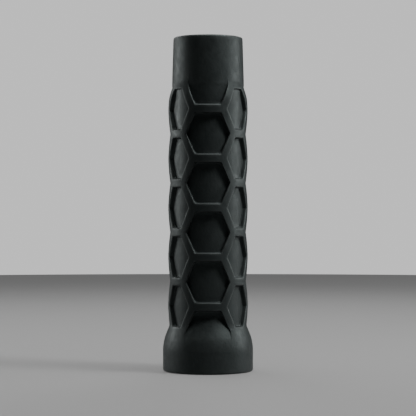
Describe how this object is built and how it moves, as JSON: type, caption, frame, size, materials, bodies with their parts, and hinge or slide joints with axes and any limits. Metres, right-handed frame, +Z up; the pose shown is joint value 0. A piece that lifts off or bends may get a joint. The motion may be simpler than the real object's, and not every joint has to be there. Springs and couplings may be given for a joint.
{
  "type": "rock tumbler barrel",
  "caption": "Tall round rubber-covered tumbling barrel with honeycomb relief, flared foot, lined steel drum and a recessed expanding plug.",
  "frame": {"origin": "centre of the foot's underside, where the barrel stands", "axes": "+Z up along the barrel's axis, -Y towards a column of full honeycomb pockets"},
  "size_m": [0.1018, 0.1018, 0.376],
  "materials": {
    "jacket_rubber": "matte black moulded rubber with a fine grain",
    "liner_rubber": "dull black rubber, scuffed by the load",
    "seal_rubber": "smooth dense black rubber",
    "drum_steel": "spun and brushed stainless steel",
    "plated_steel": "dull plated steel",
    "red_fibre": "red vulcanised fibre",
    "knob_plastic": "matte black moulded plastic",
    "brass_insert": "machined brass"
  },
  "bodies": {
    "barrel": {"honeycomb_jacket": "jacket_rubber", "drum_tube": "drum_steel", "drum_end_disc": "drum_steel", "base_plate": "plated_steel", "base_screws": "plated_steel", "base_lock_washers": "plated_steel", "foot_hoop": "plated_steel", "liner_wall": "liner_rubber", "liner_floor": "liner_rubber", "mouth_ring": "drum_steel", "mouth_ring_rivets": "plated_steel"},
    "lid": {"lid_cover": "drum_steel", "lid_gasket": "seal_rubber", "seal_ring": "seal_rubber", "knob_washer": "plated_steel"},
    "clamp": {"pressure_plate": "drum_steel", "clamp_stud": "plated_steel", "stud_head_washer": "red_fibre", "stud_end_clip": "plated_steel"},
    "knob": {"clamp_knob": "knob_plastic", "knob_insert": "brass_insert"}
  },
  "joints": [
    {"name": "lid_lift", "type": "slide", "parent": "barrel", "child": "lid", "axis": [0, 0, 1], "range_m": [0, 0.08]},
    {"name": "knob_turn", "type": "hinge", "parent": "lid", "child": "knob", "pos_m": [0, 0, 0.3356], "axis": [0, 0, 1], "range_deg": [0, 1080]},
    {"name": "clamp_travel", "type": "slide", "parent": "lid", "child": "clamp", "axis": [0, 0, 1], "range_m": [-0.0038, 0], "deforming": ["seal_ring"]}
  ],
  "couplings": [
    {"joint": "clamp_travel", "follows": "knob_turn", "m_per_rad": -0.00019894}
  ]
}
